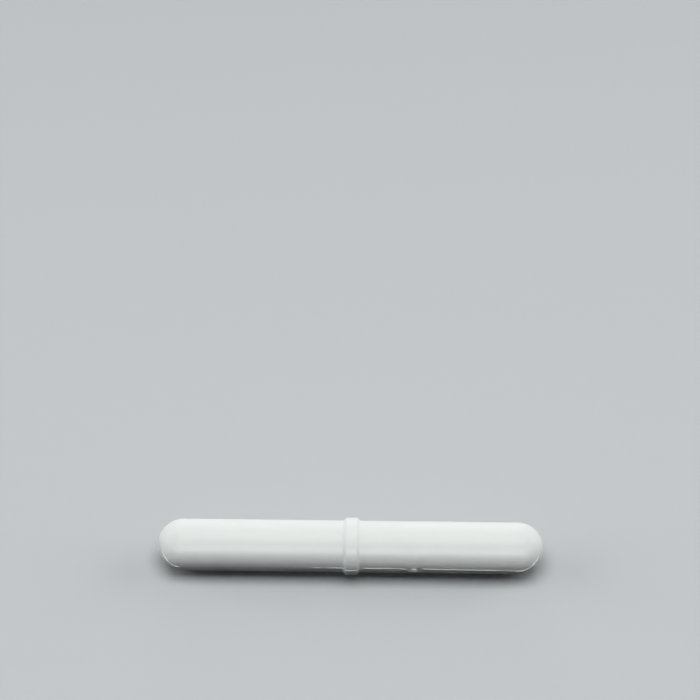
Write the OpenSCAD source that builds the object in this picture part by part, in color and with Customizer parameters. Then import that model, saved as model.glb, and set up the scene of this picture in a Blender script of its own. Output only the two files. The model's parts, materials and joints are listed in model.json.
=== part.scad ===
// Magnetic stir bar of the pivot-ring kind: a magnet rod sealed in a moulded PTFE jacket.
// The bar lies along X, its ring down, with the origin on its axis halfway along it and +Z up.

/* [Jacket] */
// Length over both domed ends
bar_length = 60; // [57:0.5:80]
// Diameter of the plain shank
shank_d = 8; // [7:0.5:12]
// Height of the left end's dome, as a share of the shank's radius
left_dome_share = 0.95; // [0.6:0.05:1]
// Height of the right end's dome, as a share of the shank's radius
right_dome_share = 1; // [0.6:0.05:1]

/* [Pivot ring] */
// How far the ring stands out from the shank
ring_height = 0.45; // [0.35:0.05:0.8]
// Width of the ring's level crest
crest_width = 1.5; // [1:0.1:4]
// Place of the ring along the bar, from the middle
ring_place = 0.25; // [-1:0.05:1]

/* [Mould line] */
// How far the flash along the mould's parting line stands proud
flash_height = 0.15; // [0.05:0.05:0.15]
// Thickness of the flash
flash_thickness = 0.2; // [0.1:0.05:0.4]
// Roll of the parting plane about the bar, front edge down
parting_roll = 7.5; // [0:0.5:60]
// Place of the vent nub along the bar, from the middle
nub_place = 9.8; // [4:0.1:20]
// Diameter of the vent nub
nub_d = 1.3; // [0.8:0.1:2]
// How far the vent nub stands proud
nub_height = 0.2; // [0.1:0.05:0.25]
// Thickness of the vent nub
nub_thickness = 0.5; // [0.3:0.1:1]

/* [Magnet] */
// Diameter of the magnet rod
magnet_d = 5; // [3:0.5:5.5]
// Length of the magnet rod
magnet_length = 50; // [20:1:52]
// Bevel round each end of the magnet rod
magnet_bevel = 0.4; // [0.1:0.1:1]

/* [Hidden] */
$fn = 96;
shank_r = shank_d / 2;
magnet_r = magnet_d / 2;
ring_r = shank_r + ring_height;
crest_edge = crest_width / 2;
// Each flank of the ring is a round shoulder and an equal fillet, which meet halfway up
flank_r = ring_height / 2;
// The ends of the body, inside the flash that runs round them
body_end = bar_length / 2 - flash_height;
left_dome_r = dome_radius(left_dome_share * shank_r);
right_dome_r = dome_radius(right_dome_share * shank_r);

// Radius of the round cap that rises this high over the end of the shank
function dome_radius(height) = (shank_r * shank_r + height * height) / (2 * height);

// The round cap of one end, pointing up; grow widens it
module dome_outline(dome_r, grow) {
    translate([0, body_end - dome_r])
        intersection() {
            circle(dome_r + grow);
            square([shank_r + grow, dome_r + grow]);
        }
}

// The S-shaped flank of the ring, from its crest to the shank, pointing up; grow widens it
module flank_outline(grow) {
    translate([shank_r + flank_r, crest_edge]) {
        intersection() {
            circle(flank_r + grow);
            square(flank_r + grow);
        }
        translate([-ring_height, 0])
            difference() {
                square(ring_height);
                translate([ring_height, ring_height])
                    circle(flank_r - grow);
            }
    }
}

// Half of the bar's long section: x is the distance from the axis, y runs to the right end
module half_outline(grow = 0) {
    left_base = body_end - left_dome_r;
    right_base = body_end - right_dome_r;
    translate([0, -left_base])
        square([shank_r + grow, left_base + right_base]);
    dome_outline(right_dome_r, grow);
    mirror([0, 1])
        dome_outline(left_dome_r, grow);
    translate([0, ring_place]) {
        translate([0, -crest_edge])
            square([ring_r + grow, crest_width]);
        flank_outline(grow);
        mirror([0, 1])
            flank_outline(grow);
    }
}

// The turned form of the jacket: shank, domed ends and pivot ring
module jacket_body() {
    rotate([0, 90, 0])
        rotate_extrude()
            half_outline();
}

// The thin flash that the mould's two halves leave along both sides, over the ring and round the ends
module parting_flash() {
    rotate([0, 0, -90])
        translate([0, 0, -flash_thickness / 2])
            linear_extrude(flash_thickness) {
                half_outline(flash_height);
                mirror([1, 0])
                    half_outline(flash_height);
            }
}

// The blob that the mould's vent leaves on the front flash
module vent_nub() {
    translate([nub_place, nub_d / 2 - shank_r - nub_height, -nub_thickness / 2])
        cylinder(d = nub_d, h = nub_thickness);
}

// The magnet rod, with both ends bevelled; its outline is also the pocket in the jacket
module magnet_rod() {
    half_length = magnet_length / 2;
    rotate([0, 90, 0])
        rotate_extrude()
            polygon([
                [0, -half_length],
                [magnet_r - magnet_bevel, -half_length],
                [magnet_r, magnet_bevel - half_length],
                [magnet_r, half_length - magnet_bevel],
                [magnet_r - magnet_bevel, half_length],
                [0, half_length]
            ]);
}

// The jacket, moulded in one piece round the magnet
module ptfe_jacket() {
    color("#e4e8e6")
        difference() {
            union() {
                jacket_body();
                rotate([parting_roll, 0, 0]) {
                    parting_flash();
                    vent_nub();
                }
            }
            magnet_rod();
        }
}

// The cast alnico rod that the stirrer's field turns
module magnet_core() {
    color("#6f6c68")
        magnet_rod();
}

ptfe_jacket();
magnet_core();
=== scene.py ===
import bisect
import json
import math
import bmesh
import bpy
from mathutils import Matrix, Vector, kdtree, noise


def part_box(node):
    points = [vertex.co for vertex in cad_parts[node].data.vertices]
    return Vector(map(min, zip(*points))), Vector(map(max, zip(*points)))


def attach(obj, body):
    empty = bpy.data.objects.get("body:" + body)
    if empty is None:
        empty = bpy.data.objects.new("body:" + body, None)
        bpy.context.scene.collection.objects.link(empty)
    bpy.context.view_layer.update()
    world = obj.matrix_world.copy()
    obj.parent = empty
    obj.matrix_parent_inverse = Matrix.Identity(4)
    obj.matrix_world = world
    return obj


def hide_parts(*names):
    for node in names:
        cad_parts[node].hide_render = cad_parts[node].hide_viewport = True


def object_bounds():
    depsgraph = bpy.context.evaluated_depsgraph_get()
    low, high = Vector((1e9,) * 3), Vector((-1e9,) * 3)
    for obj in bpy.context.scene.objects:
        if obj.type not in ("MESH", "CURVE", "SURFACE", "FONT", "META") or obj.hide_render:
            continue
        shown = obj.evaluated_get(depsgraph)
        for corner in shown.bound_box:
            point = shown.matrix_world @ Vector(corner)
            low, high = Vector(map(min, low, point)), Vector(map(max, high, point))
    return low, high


# Magnetic stir bar: a white moulded jacket with a pivot ring round its middle, sealed round a magnet rod.
# The sizes in the dictionaries are millimetres and degrees, and so are the meshes until each is finished.

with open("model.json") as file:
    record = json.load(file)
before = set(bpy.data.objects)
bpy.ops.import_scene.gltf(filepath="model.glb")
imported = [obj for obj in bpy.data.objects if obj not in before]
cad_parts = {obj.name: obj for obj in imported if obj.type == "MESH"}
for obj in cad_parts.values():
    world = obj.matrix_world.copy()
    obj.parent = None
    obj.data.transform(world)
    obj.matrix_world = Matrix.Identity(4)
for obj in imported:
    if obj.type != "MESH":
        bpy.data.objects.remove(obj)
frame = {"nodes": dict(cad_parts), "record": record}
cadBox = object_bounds()
mm = 0.001
mounts = {mount["name"]: mount for mount in frame["record"]["mounts"]}
print("frame loaded:", ", ".join(sorted(frame["nodes"])))


def srgb(hexColour):
    # a hex colour as a linear one
    parts = [int(hexColour[i:i + 2], 16) / 255 for i in (1, 3, 5)]
    linear = [c / 12.92 if c <= 0.04045 else ((c + 0.055) / 1.055) ** 2.4 for c in parts]
    return (*linear, 1.0)


def smoothStep(low, high, value):
    t = min(max((value - low) / (high - low), 0.0), 1.0)
    return t * t * (3 - 2 * t)


def wobble(value, length, seed, plane=0.37):
    # noise between about -1 and 1, slow over this length; each seed is a row of its own, off the noise's flat planes
    return noise.noise(Vector((value / length, seed, plane)))


def addNode(tree, kind, links=None, **settings):
    node = tree.nodes.new(kind)
    for key, value in settings.items():
        if key in node.inputs:
            node.inputs[key].default_value = value
        else:
            setattr(node, key, value)
    for socket, source in (links or {}).items():
        tree.links.new(source, node.inputs[socket])
    return node


def newMaterial(name):
    # with an empty tree to build in
    material = bpy.data.materials.new(name)
    material.use_nodes = True
    material.node_tree.nodes.clear()
    return material, material.node_tree


def newObject(name, mesh):
    thing = bpy.data.objects.new(name, mesh)
    bpy.context.scene.collection.objects.link(thing)
    return thing


def finishMesh(bm, name):
    # from millimetres to metres
    bmesh.ops.scale(bm, vec=(mm, mm, mm), verts=bm.verts)
    mesh = bpy.data.meshes.new(name)
    bm.to_mesh(mesh)
    bm.free()
    return mesh


jacket = {
    "halfLength": cadBox[1].x / mm - 0.05,      # the flash stands out past it
    "shankRadius": mounts["left_shank"]["dims"]["r_mm"],
    "ringRadius": -mounts["pivot_contact"]["pos_m"][2] / mm,
    "ringPlace": mounts["pivot_contact"]["pos_m"][0] / mm,
    "crestWidth": 1.36,
    "crestShift": -0.11,    # of the crest's middle, because the left flank is the steeper one
    "leftFlank": 0.66,      # widths
    "rightFlank": 0.78,
    "flankSlope": 46.0,     # at the middle of each
    "leftDomeHeight": 3.8,
    "rightDomeHeight": 4.0,
    "loopSpacing": 0.2,     # along the bar
    "domeLoops": 76,
    "flankLoops": 7,
    "segments": 160,        # round the bar
    "crowding": 0.9,        # how closely they crowd at the mould line, below 1
    "mergeGap": 0.002,      # points nearer than this are one
    "waveHeight": 0.02,     # slow unevenness of the moulded form
    "waveLength": 7.0,
}


def domeRadius(height):
    # of the round cap that stands this high on the shank
    return (jacket["shankRadius"] ** 2 + height ** 2) / (2 * height)


leftRadius = domeRadius(jacket["leftDomeHeight"])
rightRadius = domeRadius(jacket["rightDomeHeight"])
leftCentre = leftRadius - jacket["halfLength"]
rightCentre = jacket["halfLength"] - rightRadius
leftBase = jacket["leftDomeHeight"] - jacket["halfLength"]
rightBase = jacket["halfLength"] - jacket["rightDomeHeight"]


def flankStrokes(foot, way, width):
    # a flank of the ring, drawn from left to right: a fillet, a slant and a shoulder that mirrors the fillet;
    # bend is the radius of both turns with which the flank climbs to the crest in just its width
    shank, crest = jacket["shankRadius"], jacket["ringRadius"]
    slope, height = math.radians(jacket["flankSlope"]), crest - shank
    bend = (width - height / math.tan(slope)) / (2 * math.tan(slope / 2))
    slant = (height - 2 * bend * (1 - math.cos(slope))) / math.sin(slope)
    fillet = ("turn", foot, shank + bend, -slope, jacket["flankLoops"])
    shoulder = ("turn", foot + way * width, crest - bend, slope, jacket["flankLoops"])
    straight = ("run", slant * math.cos(slope), way * slant * math.sin(slope))
    return [fillet, straight, shoulder][::way]


def drawOutline(bm):
    # one point, swept from tip to tip: each stroke is a run along the bar or a turn about a centre
    middle, edge = jacket["ringPlace"] + jacket["crestShift"], jacket["crestWidth"] / 2
    leftFoot, rightFoot = middle - edge - jacket["leftFlank"], middle + edge + jacket["rightFlank"]
    strokes = [("turn", leftCentre, 0, math.asin(min(1.0, jacket["shankRadius"] / leftRadius)), jacket["domeLoops"]),
               ("run", leftFoot - leftBase, 0)]
    strokes += flankStrokes(leftFoot, 1, jacket["leftFlank"])
    strokes.append(("run", jacket["crestWidth"], 0))
    strokes += flankStrokes(rightFoot, -1, jacket["rightFlank"])
    strokes += [("run", rightBase - rightFoot, 0), ("turn", rightCentre, 0, math.pi / 2, jacket["domeLoops"])]
    tip = bm.verts.new((-jacket["halfLength"], 0, 0))
    for stroke in strokes:
        if stroke[0] == "run":
            _, length, rise = stroke
            steps = max(1, round(length / jacket["loopSpacing"]))
            moved = bmesh.ops.spin(bm, geom=[tip], cent=(0, 0, 0), axis=(0, 0, 1), angle=0,
                                   dvec=(length / steps, -rise / steps, 0), steps=steps)
        else:
            _, x, radius, angle, steps = stroke
            moved = bmesh.ops.spin(bm, geom=[tip], cent=(x, -radius, 0), axis=(0, 0, 1), angle=angle, steps=steps)
        tip = next(part for part in moved["geom_last"] if isinstance(part, bmesh.types.BMVert))
    bmesh.ops.remove_doubles(bm, verts=bm.verts, dist=jacket["mergeGap"])
    return sorted((vert.co.x, -vert.co.y) for vert in bm.verts)


# The flash where the mould's halves met: one closed line along both sides, which climbs over each end.
mouldLine = {
    "drop": 5.6,                # degrees below level on the front, in the middle; the back is as far above
    "dropAtEnds": 9.2,
    "leftClimb": (36.0, 0.1),   # degrees above level at the very end, share of the way round it stays low
    "rightClimb": (31.0, 0.08),
    "tabledTurn": 60,           # degrees round an end for which the climb is worked out
    "tabledAngle": 45,          # about the bar's axis, past which the line is as good as at the end
    "height": 0.081,
    "width": 0.12,
    "edge": 0.035,              # softness of the flash's own edges
    "endWidening": 0.6,
    "widenFrom": 0.2,           # before a dome's foot
    "widenTo": 1.6,             # past it
    "step": 0.09,               # how far the lower half's edge lies in under the flash
    "stepWidth": 0.8,           # over which it comes back out
    "shelf": 0.065,             # how far the upper half stands out over the lower one on the ends
    "shelfWidth": 1.1,
    "shelfShare": {("left", 1): 1.0, ("right", 1): 0.4, ("left", -1): 0.3, ("right", -1): 0.3},
    "shelfRise": (0.08, 0.4),   # shares of the way round an end, where it starts and is full
    "shelfRidge": 0.3,          # what it adds to the flash, as a share of the flash's height
    "shelfStepLoss": 0.6,       # share of the step that it takes the place of
    "undercut": (0.09, 0.45, 0.5, 1.3),     # depth under the shelf; where it is full, starts to end, ends
    "groove": (0.12, 0.24, 0.09),           # right under the line there: depth, distance, half width
    "waver": [(0.05, 3.1, 4.0), (0.025, 0.7, 9.0)],         # up and down: height, length, seed
    "raggedness": [(0.35, 1.3, 21.0), (0.45, 0.4, 33.0)],   # share of the flash, length, seed
    "backStrength": (0.75, 0.35, 6.0, 51.0),    # share of the front's, how much it varies, length, seed
    "waverFade": (0.3, 0.7),    # shares of the way round an end, between which the waver stops
    "fade": {1: (0.42, 0.85), -1: (0.1, 0.5)},  # the same for the flash, on the front and on the back
    "fadeLoss": 0.8,            # share of the flash that is gone then
    "sampling": 0.02,
    "endSteps": 300,
    "seam": 0.01,               # how near a dome's foot the stretches of the line may meet
    "reach": 1.5,               # past which it changes nothing
    # where it is weaker on the front (or stronger, below 0): from, to, share that is gone
    "worn": [(-26.5, -5.9, 0.93), (-4.4, -3.5, 0.9), (1.2, 2.0, 0.7), (6.6, 7.8, 0.3), (8.0, 9.0, -0.4),
             (10.6, 11.2, 0.9), (12.0, 13.8, -0.2), (17.3, 19.3, 0.1), (19.4, 21.2, -0.15), (22.9, 24.3, 0.3)],
    "wornEdges": (0.4, 0.2),    # softness of the start and of the stop
}
# A cupped pip on the front, where the mould's vent was trimmed. Shares are of its half length and half breadth.
ventNub = {
    "place": 9.8,
    "above": 0.35,              # over the dip of the line
    "halfLength": 0.62,         # along the line
    "halfBreadth": 0.5,         # across the line
    "height": 0.16,
    "shoulder": (0.6, 1.2),     # shares out from its middle, between which it falls away
    "cup": (0.26, 0.35, 0.6, 0.4),          # hollow in its lower part: depth; how far down, length, breadth as shares
    "dimple": (0.12, 1.55, 0.4, 0.9),       # hollow at each side: depth; how far out, length, breadth as shares
    "tail": (0.05, 0.7, 0.3, 1.9),          # swelling above it: height, width as a share, softness, length
    "sag": 0.75,                # how far the line dips on its way past
    "sagSpan": (-1.6, -0.7, 0.7, 1.2),      # from its place: the dip starts, is full, starts to end, ends
    "farOff": 3,                # half lengths past which it changes nothing
}


def lineLift(end, side, turn):
    # the line's height over level, seen from the end's own centre, as it turns round that end
    start = -mouldLine["dropAtEnds"] * side
    top, low = mouldLine[end + "Climb"]
    return math.radians(start + (top - start) * smoothStep(low, 1, turn / 90))


def climbTable(end, side):
    # how far the line has got along the dome, and its angle about the bar's axis, for each degree of turn
    table = []
    for turn in range(mouldLine["tabledTurn"]):
        lift, around = lineLift(end, side, turn), math.radians(turn)
        angle = math.atan2(math.sin(lift), math.cos(lift) * math.cos(around))
        table.append((math.cos(lift) * math.sin(around), angle))
    return [entry for entry in table if math.degrees(entry[1]) < mouldLine["tabledAngle"]]


# the four quarters of the line that climb over the ends
lineTables = {(end, side): climbTable(end, side) for end in ("left", "right") for side in (1, -1)}


def lineDrift(x, side):
    # the line's waver and its dip at the nub, as an angle
    drift = 0.0
    for height, length, seed in mouldLine["waver"]:
        drift += height * wobble(x, length, seed * side)
    if side == 1:
        start, full, leave, stop = ventNub["sagSpan"]
        fromNub = x - ventNub["place"]
        drift -= ventNub["sag"] * smoothStep(start, full, fromNub) * (1 - smoothStep(leave, stop, fromNub))
    return drift / jacket["shankRadius"]


def lineAngle(x, side):
    # side 1 is the front and -1 the back; the angle runs up from level on that side
    if leftBase <= x <= rightBase:
        bow = (x / leftBase) ** 2 if x < 0 else (x / rightBase) ** 2
        angle = -math.radians(mouldLine["drop"] + (mouldLine["dropAtEnds"] - mouldLine["drop"]) * bow) * side
        return angle + lineDrift(x, side)
    if x < 0:
        end, share = "left", (leftCentre - x) / leftRadius
    else:
        end, share = "right", (x - rightCentre) / rightRadius
    table = lineTables[end, side]
    spot = min(max(bisect.bisect_left(table, (share, -math.pi)), 1), len(table) - 1)
    (lowShare, lowAngle), (highShare, highAngle) = table[spot - 1], table[spot]
    reach = min(max((share - lowShare) / (highShare - lowShare), 0.0), 1.0)
    waver = lineDrift(x, side) * (1 - smoothStep(*mouldLine["waverFade"], share))
    return lowAngle + (highAngle - lowAngle) * reach + waver


def lineStrength(x, side):
    # how high the flash stands, as a share of its height
    ragged = 1
    for part, length, seed in mouldLine["raggedness"]:
        ragged += part * wobble(x, length, seed + side)
    if side == -1:
        share, change, length, seed = mouldLine["backStrength"]
        return ragged * (share + change * wobble(x, length, seed))
    startEdge, stopEdge = mouldLine["wornEdges"]
    for start, stop, loss in mouldLine["worn"]:
        ragged *= 1 - loss * smoothStep(-startEdge, startEdge, x - start) * \
            (1 - smoothStep(-stopEdge, stopEdge, x - stop))
    return ragged


def shankSpots(outline, side):
    # points along one side of the shank and over the ring, each with its strength and its shelf
    spots = []
    for (x0, r0), (x1, r1) in zip(outline, outline[1:]):
        if x0 < leftBase - mouldLine["seam"] or x1 > rightBase + mouldLine["seam"]:
            continue
        pieces = max(1, math.ceil(math.dist((x0, r0), (x1, r1)) / mouldLine["sampling"]))
        for i in range(pieces):
            x = x0 + (x1 - x0) * i / pieces
            radius = r0 + (r1 - r0) * i / pieces
            angle = lineAngle(x, side)
            spots.append((Vector((x, -side * radius * math.cos(angle), radius * math.sin(angle))),
                          lineStrength(x, side), 0.0))
    return spots


def endSpots(end, side):
    # the same from the shank to the very end, where the two sides' lines meet
    if end == "left":
        centre, radius, way, base = leftCentre, leftRadius, -1, leftBase
    else:
        centre, radius, way, base = rightCentre, rightRadius, 1, rightBase
    spots = []
    for step in range(mouldLine["endSteps"]):
        share = (step + 1) / mouldLine["endSteps"]
        around = math.radians(90 * share)
        lift = lineLift(end, side, 90 * share)
        x = centre + way * radius * math.cos(lift) * math.sin(around)
        if (x - base) * way < mouldLine["seam"]:
            continue
        lift += lineDrift(x, side) * (1 - smoothStep(*mouldLine["waverFade"], share))
        spot = Vector((x, -side * radius * math.cos(lift) * math.cos(around), radius * math.sin(lift)))
        fade = smoothStep(*mouldLine["fade"][side], share)
        shelf = mouldLine["shelfShare"][end, side] * smoothStep(*mouldLine["shelfRise"], share) * (1 - fade)
        spots.append((spot, lineStrength(x, side) * (1 - mouldLine["fadeLoss"] * fade), shelf))
    return spots


def lineSamples(outline, side):
    # all of one side's points from left to right, each with the way along the line added
    spots = endSpots("left", side)[::-1] + shankSpots(outline, side) + endSpots("right", side)
    samples = []
    for before, (spot, strength, shelf), after in zip(spots, spots[1:], spots[2:]):
        along = (after[0] - before[0]).normalized() * side
        samples.append((spot, along, strength, shelf))
    return samples


def segmentAngle(around, front, back):
    # around runs 0 to 1 round the bar, from the front line over the top
    span = back - front if around < 0.5 else front + 2 * math.pi - back
    start = front if around < 0.5 else back
    share = (around % 0.5) * 2
    return start + span * (share - jacket["crowding"] * math.sin(2 * math.pi * share) / (2 * math.pi))


def turnToMouldLine(bm):
    # slides each loop's points round the bar, so that two lie on the mould line and the rest crowd towards it
    for vert in bm.verts:
        x, radius = vert.co.x, math.hypot(vert.co.y, vert.co.z)
        if radius < jacket["mergeGap"] / 2:     # the two tips
            continue
        around = math.atan2(vert.co.z, -vert.co.y) / (2 * math.pi) % 1
        around = round(around * jacket["segments"]) / jacket["segments"] % 1
        angle = segmentAngle(around, lineAngle(x, 1), math.pi - lineAngle(x, -1))
        vert.co.y = -radius * math.cos(angle)
        vert.co.z = radius * math.sin(angle)
    bm.normal_update()


def nubLift(spot, nubAngle):
    # how far the nub, its hollows and its tail move the surface out here
    along = (spot.x - ventNub["place"]) / ventNub["halfLength"]
    if abs(along) > ventNub["farOff"] or spot.y > 0:
        return 0.0
    above = (math.atan2(spot.z, -spot.y) - nubAngle) * jacket["shankRadius"] - ventNub["above"]
    across = above / ventNub["halfBreadth"]
    pip = ventNub["height"] * (1 - smoothStep(*ventNub["shoulder"], math.hypot(along, across)))
    depth, down, length, breadth = ventNub["cup"]
    pip -= depth * math.exp(-(along / length) ** 2 - ((across + down) / breadth) ** 2)
    depth, out, length, breadth = ventNub["dimple"]
    hollow = depth * math.exp(-((abs(along) - out) / length) ** 2 - (across / breadth) ** 2)
    height, width, softness, length = ventNub["tail"]
    tail = height * math.exp(-(along / width) ** 2) * smoothStep(-softness, softness, above)
    return pip - hollow + tail * (1 - smoothStep(0, length, above))


def onDome(x):
    # 0 along the shank, 1 well out on an end
    if x < 0:
        return smoothStep(leftBase + mouldLine["widenFrom"], leftBase - mouldLine["widenTo"], x)
    return smoothStep(rightBase - mouldLine["widenFrom"], rightBase + mouldLine["widenTo"], x)


def sinkLowerHalf(lift, gap, strength, shelf, half, past):
    # the moulding under the line: its step in under the flash, and the undercut and groove on the ends
    step = mouldLine["step"] * min(1.0, strength) * (1 - mouldLine["shelfStepLoss"] * shelf) * past
    lift -= step * (1 - smoothStep(half, mouldLine["stepWidth"], gap))
    depth, full, leave, stop = mouldLine["undercut"]
    lift -= depth * shelf * smoothStep(0, full, gap) * (1 - smoothStep(leave, stop, gap))
    depth, distance, spread = mouldLine["groove"]
    lift -= depth * shelf * math.exp(-((gap - distance) / spread) ** 2)
    return lift


def raiseMouldLine(bm, outline):
    # moves each point out or in by how far it is from the line, and on which side of it
    samples = lineSamples(outline, 1) + lineSamples(outline, -1)
    tree = kdtree.KDTree(len(samples))
    for i, sample in enumerate(samples):
        tree.insert(sample[0], i)
    tree.balance()
    nubAngle = lineAngle(ventNub["place"], 1)
    moves = []
    for vert in bm.verts:
        spot, index, gap = tree.find(vert.co)
        _, along, strength, shelf = samples[index]
        lift = jacket["waveHeight"] * noise.noise(vert.co / jacket["waveLength"])
        if gap < mouldLine["reach"]:
            widening = 1 + mouldLine["endWidening"] * onDome(spot.x)
            half, edge = mouldLine["width"] / 2 * widening, mouldLine["edge"] * widening
            past = smoothStep(half - edge, half + edge, gap)
            lift += mouldLine["height"] * (strength + mouldLine["shelfRidge"] * shelf) * (1 - past)
            if (vert.co - spot).dot(vert.normal.cross(along)) < 0:
                lift = sinkLowerHalf(lift, gap, strength, shelf, half, past)
            else:
                lift += mouldLine["shelf"] * shelf * (1 - smoothStep(0, mouldLine["shelfWidth"], gap))
        lift += nubLift(vert.co, nubAngle)
        moves.append((vert, vert.normal * lift))
    for vert, move in moves:
        vert.co += move
    print("mould line raised from", len(samples), "samples")


pocket = {
    "bevel": 0.2,           # half the magnet's own, so the magnet's edges stand a little clear
    "segments": 96,
}


def addPocket(bm):
    # the sealed hollow that the magnet fills, made on its own and turned inside out
    low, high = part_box("magnet_core")
    radius, length, middle = high.z / mm, (high.x - low.x) / mm, (high.x + low.x) / 2 / mm
    lying = Matrix.Translation((middle, 0, 0)) @ Matrix.Rotation(math.pi / 2, 4, "Y")
    hollow = bmesh.new()
    bmesh.ops.create_cone(hollow, cap_ends=True, segments=pocket["segments"], radius1=radius, radius2=radius,
                          depth=length, matrix=lying)
    rims = [edge for edge in hollow.edges if any(len(face.verts) == pocket["segments"] for face in edge.link_faces)]
    bmesh.ops.bevel(hollow, geom=rims, offset=pocket["bevel"] * math.sqrt(2), offset_type="WIDTH",
                    affect="EDGES", segments=1, profile=0.5, material=-1)
    bmesh.ops.recalc_face_normals(hollow, faces=hollow.faces)
    bmesh.ops.reverse_faces(hollow, faces=hollow.faces)
    wall = bpy.data.meshes.new("pocket")
    hollow.to_mesh(wall)
    hollow.free()
    bm.from_mesh(wall)
    bpy.data.meshes.remove(wall)
    print("pocket cut:", round(length, 2), "mm long")


def buildJacket():
    bm = bmesh.new()
    outline = drawOutline(bm)
    print("outline drawn:", len(outline), "points")
    bmesh.ops.spin(bm, geom=bm.verts[:] + bm.edges[:], cent=(0, 0, 0), axis=(1, 0, 0), angle=2 * math.pi,
                   steps=jacket["segments"], use_merge=True)
    bmesh.ops.remove_doubles(bm, verts=bm.verts, dist=jacket["mergeGap"])
    bmesh.ops.recalc_face_normals(bm, faces=bm.faces)
    turnToMouldLine(bm)
    raiseMouldLine(bm, outline)
    addPocket(bm)
    mesh = finishMesh(bm, "jacket_moulding")
    mesh.shade_smooth()
    return newObject("jacket_moulding", mesh)


ptfeLook = {
    "colour": "#E9ECEA",
    "colourDeep": "#E3E8E6",
    "cloudSize": 5.0,       # width of the patches in the one colour and the other
    "grainSize": 0.45,      # drawn coarser than the moulding powder's grain, about 0.03, which wouldn't show
    "grainDepth": 0.03,
    "roughness": (0.36, 0.46),
    "ior": 1.36,
    "chalkiness": 1.0,      # roughness of the diffuse part
    "scatter": 0.35,
    "scatterDepth": (0.38, 0.38, 0.38),     # how far red, green and blue get inside
}


def ptfeMaterial():
    # sintered PTFE, moulded: waxy white that lets light in a little way, with a soft satin gloss
    material, tree = newMaterial("sintered_ptfe")
    place = addNode(tree, "ShaderNodeTexCoord").outputs["Object"]
    cloud = addNode(tree, "ShaderNodeTexNoise", {"Vector": place},
                    Scale=1 / (ptfeLook["cloudSize"] * mm), Detail=3.0, Roughness=0.55)
    grain = addNode(tree, "ShaderNodeTexNoise", {"Vector": place},
                    Scale=1 / (ptfeLook["grainSize"] * mm), Detail=4.0, Roughness=0.6)
    colour = addNode(tree, "ShaderNodeMixRGB", {"Fac": cloud.outputs["Fac"]},
                     Color1=srgb(ptfeLook["colourDeep"]), Color2=srgb(ptfeLook["colour"]))
    rough = addNode(tree, "ShaderNodeMapRange", {"Value": grain.outputs["Fac"]},
                    **{"To Min": ptfeLook["roughness"][0], "To Max": ptfeLook["roughness"][1]})
    bump = addNode(tree, "ShaderNodeBump", {"Height": grain.outputs["Fac"]},
                   Strength=0.5, Distance=ptfeLook["grainDepth"] * mm)
    shader = addNode(tree, "ShaderNodeBsdfPrincipled",
                     {"Base Color": colour.outputs["Color"], "Roughness": rough.outputs["Result"],
                      "Normal": bump.outputs["Normal"]},
                     **{"IOR": ptfeLook["ior"], "Diffuse Roughness": ptfeLook["chalkiness"],
                        "Subsurface Weight": ptfeLook["scatter"], "Subsurface Radius": ptfeLook["scatterDepth"],
                        "Subsurface Scale": mm})
    addNode(tree, "ShaderNodeOutputMaterial", {"Surface": shader.outputs["BSDF"]})
    return material


alnicoLook = {
    "colour": "#8C8985",
    "pitSize": 0.6,         # drawn coarser than the real pits, which are about 0.2
    "pitDepth": 0.03,
    "roughness": (0.38, 0.6),
}


def alnicoMaterial():
    # cast alnico, ground on the outside: dull grey metal with the fine pits of the casting
    material, tree = newMaterial("cast_alnico")
    place = addNode(tree, "ShaderNodeTexCoord").outputs["Object"]
    pits = addNode(tree, "ShaderNodeTexNoise", {"Vector": place},
                   Scale=1 / (alnicoLook["pitSize"] * mm), Detail=5.0, Roughness=0.7)
    rough = addNode(tree, "ShaderNodeMapRange", {"Value": pits.outputs["Fac"]},
                    **{"To Min": alnicoLook["roughness"][0], "To Max": alnicoLook["roughness"][1]})
    bump = addNode(tree, "ShaderNodeBump", {"Height": pits.outputs["Fac"]},
                   Strength=0.5, Distance=alnicoLook["pitDepth"] * mm)
    shader = addNode(tree, "ShaderNodeBsdfPrincipled",
                     {"Roughness": rough.outputs["Result"], "Normal": bump.outputs["Normal"]},
                     **{"Base Color": srgb(alnicoLook["colour"]), "Metallic": 1.0})
    addNode(tree, "ShaderNodeOutputMaterial", {"Surface": shader.outputs["BSDF"]})
    return material


jacketPiece = buildJacket()
jacketPiece.data.materials.append(ptfeMaterial())
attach(jacketPiece, "root")
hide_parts("ptfe_jacket")
magnetMaterials = frame["nodes"]["magnet_core"].data.materials
magnetMaterials.clear()
magnetMaterials.append(alnicoMaterial())
print("jacket:", len(jacketPiece.data.polygons), "faces")


studio = {
    "floorSize": 1.2,       # metres
    "floorColour": "#BFC3C5",
    "bounceColour": "#3E4042",
    "worldColour": "#CDD0D2",
    "ambient": 0.015,
    "softboxDistance": 0.60,    # metres
    "glossOnly": ["frontSoftbox"],      # lights the jacket's gloss and nothing else
}
softboxes = {
    # elevation (90 is overhead, less leans to its azimuth), azimuth (0 is the front, 90 the right),
    # width and depth in metres, watts
    "topSoftbox": (83, 0, 0.50, 0.36, 3.0),
    "leftSoftbox": (27, -95, 0.50, 0.36, 1.3),
    "rightSoftbox": (27, 104, 0.50, 0.36, 1.35),
    "backSoftbox": (22, 180, 0.50, 0.36, 0.45),
    "frontSoftbox": (31, 0, 1.40, 0.24, 13.0),
}


def seenDirectly(tree):
    # what the eye and reflections meet, apart from light that goes on to the object
    path = addNode(tree, "ShaderNodeLightPath")
    eye = addNode(tree, "ShaderNodeMath", {0: path.outputs["Is Camera Ray"], 1: path.outputs["Is Glossy Ray"]},
                  operation="MAXIMUM")
    return addNode(tree, "ShaderNodeMath", {0: eye.outputs["Value"], 1: path.outputs["Is Transmission Ray"]},
                   operation="MAXIMUM").outputs["Value"]


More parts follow.
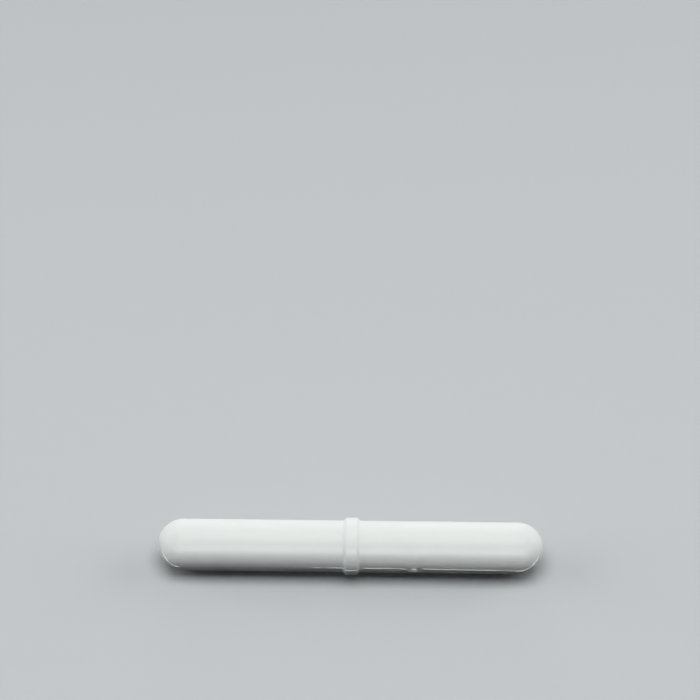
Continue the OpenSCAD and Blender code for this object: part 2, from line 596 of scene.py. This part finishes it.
def boardMaterial():
    # matt painted board: pale to the eye, darker to the light that it throws back up
    material, tree = newMaterial("matt_board")
    pale = addNode(tree, "ShaderNodeBsdfDiffuse", Color=srgb(studio["floorColour"]))
    dark = addNode(tree, "ShaderNodeBsdfDiffuse", Color=srgb(studio["bounceColour"]))
    mix = addNode(tree, "ShaderNodeMixShader",
                  {0: seenDirectly(tree), 1: dark.outputs["BSDF"], 2: pale.outputs["BSDF"]})
    addNode(tree, "ShaderNodeOutputMaterial", {"Surface": mix.outputs["Shader"]})
    return material


def buildFloor():
    # level with the ring's lowest point
    bm = bmesh.new()
    bmesh.ops.create_grid(bm, x_segments=2, y_segments=2, size=studio["floorSize"] / 2 / mm)
    bmesh.ops.translate(bm, vec=(0, 0, -jacket["ringRadius"]), verts=bm.verts)
    floor = newObject("floor", finishMesh(bm, "floor"))
    floor.data.materials.append(boardMaterial())


def buildWorld():
    # a pale backdrop that adds only a little light of its own
    world = bpy.data.worlds.new("studio")
    world.use_nodes = True
    tree = world.node_tree
    tree.nodes.clear()
    soft = addNode(tree, "ShaderNodeBackground", Color=(1, 1, 1, 1), Strength=studio["ambient"])
    shown = addNode(tree, "ShaderNodeBackground", Color=srgb(studio["worldColour"]), Strength=1.0)
    mix = addNode(tree, "ShaderNodeMixShader", {0: seenDirectly(tree),
                                                1: soft.outputs["Background"], 2: shown.outputs["Background"]})
    addNode(tree, "ShaderNodeOutputWorld", {"Surface": mix.outputs["Shader"]})
    bpy.context.scene.world = world


def buildLights():
    for name, (elevation, azimuth, width, depth, power) in softboxes.items():
        lift, turn = math.radians(elevation), math.radians(azimuth)
        away = Vector((math.cos(lift) * math.sin(turn), -math.cos(lift) * math.cos(turn), math.sin(lift)))
        data = bpy.data.lights.new(name, "AREA")
        data.shape = "RECTANGLE"
        data.size, data.size_y = width, depth
        data.energy = power
        lamp = newObject(name, data)
        lamp.location = away * studio["softboxDistance"]
        lamp.visible_diffuse = name not in studio["glossOnly"]
        lamp.rotation_euler = away.to_track_quat("Z", "Y").to_euler()


view = {
    "lens": 123.43,
    "sensor": 36.0,
    "tilt": 46.733,         # looking down
    "turn": 0.86,           # round to the right
    "back": 233.5,          # from the bar, over the floor
    "up": 292.6,
    "aside": -0.08,
    "clip": (0.01, 10),     # metres
}


def buildCamera():
    data = bpy.data.cameras.new("camera")
    data.lens, data.sensor_width = view["lens"], view["sensor"]
    data.clip_start, data.clip_end = view["clip"]
    camera = newObject("camera", data)
    turn = math.radians(view["turn"])
    camera.location = Vector((view["back"] * math.sin(turn) + view["aside"],
                              -view["back"] * math.cos(turn), view["up"])) * mm
    camera.rotation_euler = (math.radians(90 - view["tilt"]), 0, turn)
    bpy.context.scene.camera = camera


buildFloor()
buildWorld()
buildLights()
buildCamera()
bpy.context.scene.view_settings.view_transform = "Standard"
print("stage, lights and camera set")
